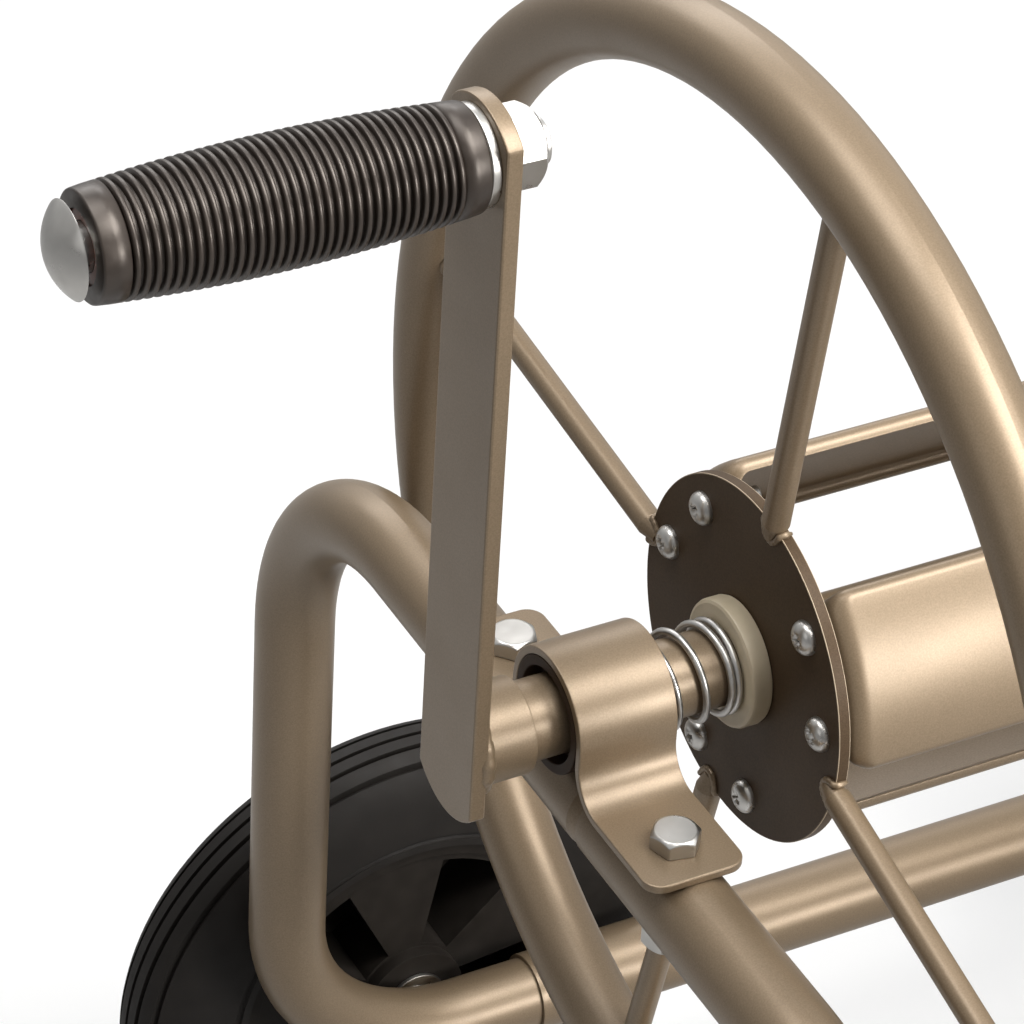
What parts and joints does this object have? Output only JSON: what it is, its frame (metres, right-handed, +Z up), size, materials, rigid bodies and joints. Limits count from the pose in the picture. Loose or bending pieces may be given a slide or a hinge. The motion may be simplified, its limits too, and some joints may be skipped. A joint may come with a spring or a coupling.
{
  "type": "garden hose reel cart",
  "caption": "Four-wheel garden hose reel cart with a bronze tube frame, a hand-cranked open-spoke reel, hose fittings and a hinged pull handle.",
  "frame": {"origin": "on the ground under the middle of the cart's length and width", "axes": "+Z up from the ground, +X along the reel's axle from the crank end to the pull-handle end, +Y to the left when facing +X"},
  "size_m": [0.89, 0.6228, 0.8541],
  "materials": {
    "bronze_paint": "satin",
    "dark_bronze_paint": "satin",
    "zinc_plate": "satin",
    "brass": "satin",
    "black_bearing": "matte",
    "nylon": "satin",
    "grip_rubber": "matte",
    "brown_sleeve": "gloss",
    "tyre_rubber": "matte",
    "black_plastic": "satin"
  },
  "bodies": {
    "frame": {"front_loop_left": "bronze_paint", "front_loop_right": "bronze_paint", "rear_loop_left": "bronze_paint", "rear_loop_right": "bronze_paint", "rail_left": "bronze_paint", "rail_right": "bronze_paint", "rail_screws": "zinc_plate", "front_wheel_axle": "zinc_plate", "rear_wheel_axle": "zinc_plate", "axle_washers": "zinc_plate", "axle_end_caps": "zinc_plate", "front_bearing_strap": "bronze_paint", "rear_bearing_strap": "bronze_paint", "front_bearing_bush": "black_bearing", "rear_bearing_bush": "black_bearing", "strap_bolts": "zinc_plate", "handle_brackets": "bronze_paint", "handle_pivot_bolts": "zinc_plate"},
    "reel": {"reel_axle": "bronze_paint", "axle_pin": "dark_bronze_paint", "crank_arm": "bronze_paint", "front_hub_plate": "dark_bronze_paint", "rear_hub_plate": "dark_bronze_paint", "front_rim": "bronze_paint", "rear_rim": "bronze_paint", "front_spokes": "bronze_paint", "rear_spokes": "bronze_paint", "drum_panel_far": "bronze_paint", "drum_panel_near": "bronze_paint", "drum_panel_low": "bronze_paint", "hub_screws": "zinc_plate", "brake_spring": "zinc_plate", "nylon_washer": "nylon", "outlet_pipe": "zinc_plate", "grip_bolt": "zinc_plate", "grip_nut": "zinc_plate", "grip_washer": "zinc_plate"},
    "grip": {"crank_grip": "grip_rubber", "grip_sleeve": "brown_sleeve"},
    "swivel": {"inlet_swivel": "brass"},
    "handle": {"pull_handle": "bronze_paint", "handle_foam": "grip_rubber"},
    "front_left_wheel": {"tyre_front_left": "tyre_rubber", "wheel_front_left": "black_plastic", "wheel_bush_front_left": "nylon"},
    "front_right_wheel": {"tyre_front_right": "tyre_rubber", "wheel_front_right": "black_plastic", "wheel_bush_front_right": "nylon"},
    "rear_left_wheel": {"tyre_rear_left": "tyre_rubber", "wheel_rear_left": "black_plastic", "wheel_bush_rear_left": "nylon"},
    "rear_right_wheel": {"tyre_rear_right": "tyre_rubber", "wheel_rear_right": "black_plastic", "wheel_bush_rear_right": "nylon"}
  },
  "joints": [
    {"name": "reel_spin", "type": "hinge", "parent": "frame", "child": "reel", "pos_m": [-0.1875, 0, 0.501], "axis": [1, 0, 0], "continuous": true},
    {"name": "grip_spin", "type": "hinge", "parent": "reel", "child": "grip", "pos_m": [-0.3055, 0, 0.7345], "axis": [1, 0, 0], "continuous": true},
    {"name": "inlet_spin", "type": "hinge", "parent": "reel", "child": "swivel", "pos_m": [0.408, 0, 0.501], "axis": [1, 0, 0], "continuous": true},
    {"name": "handle_swing", "type": "hinge", "parent": "frame", "child": "handle", "pos_m": [0.428, 0, 0.217], "axis": [0, 1, 0], "range_deg": [0, 100]},
    {"name": "front_left_wheel_spin", "type": "hinge", "parent": "frame", "child": "front_left_wheel", "pos_m": [-0.1725, 0.2771, 0.127], "axis": [0, 1, 0], "continuous": true},
    {"name": "front_right_wheel_spin", "type": "hinge", "parent": "frame", "child": "front_right_wheel", "pos_m": [-0.1725, -0.2771, 0.127], "axis": [0, 1, 0], "continuous": true},
    {"name": "rear_left_wheel_spin", "type": "hinge", "parent": "frame", "child": "rear_left_wheel", "pos_m": [0.3095, 0.2771, 0.127], "axis": [0, 1, 0], "continuous": true},
    {"name": "rear_right_wheel_spin", "type": "hinge", "parent": "frame", "child": "rear_right_wheel", "pos_m": [0.3095, -0.2771, 0.127], "axis": [0, 1, 0], "continuous": true}
  ]
}
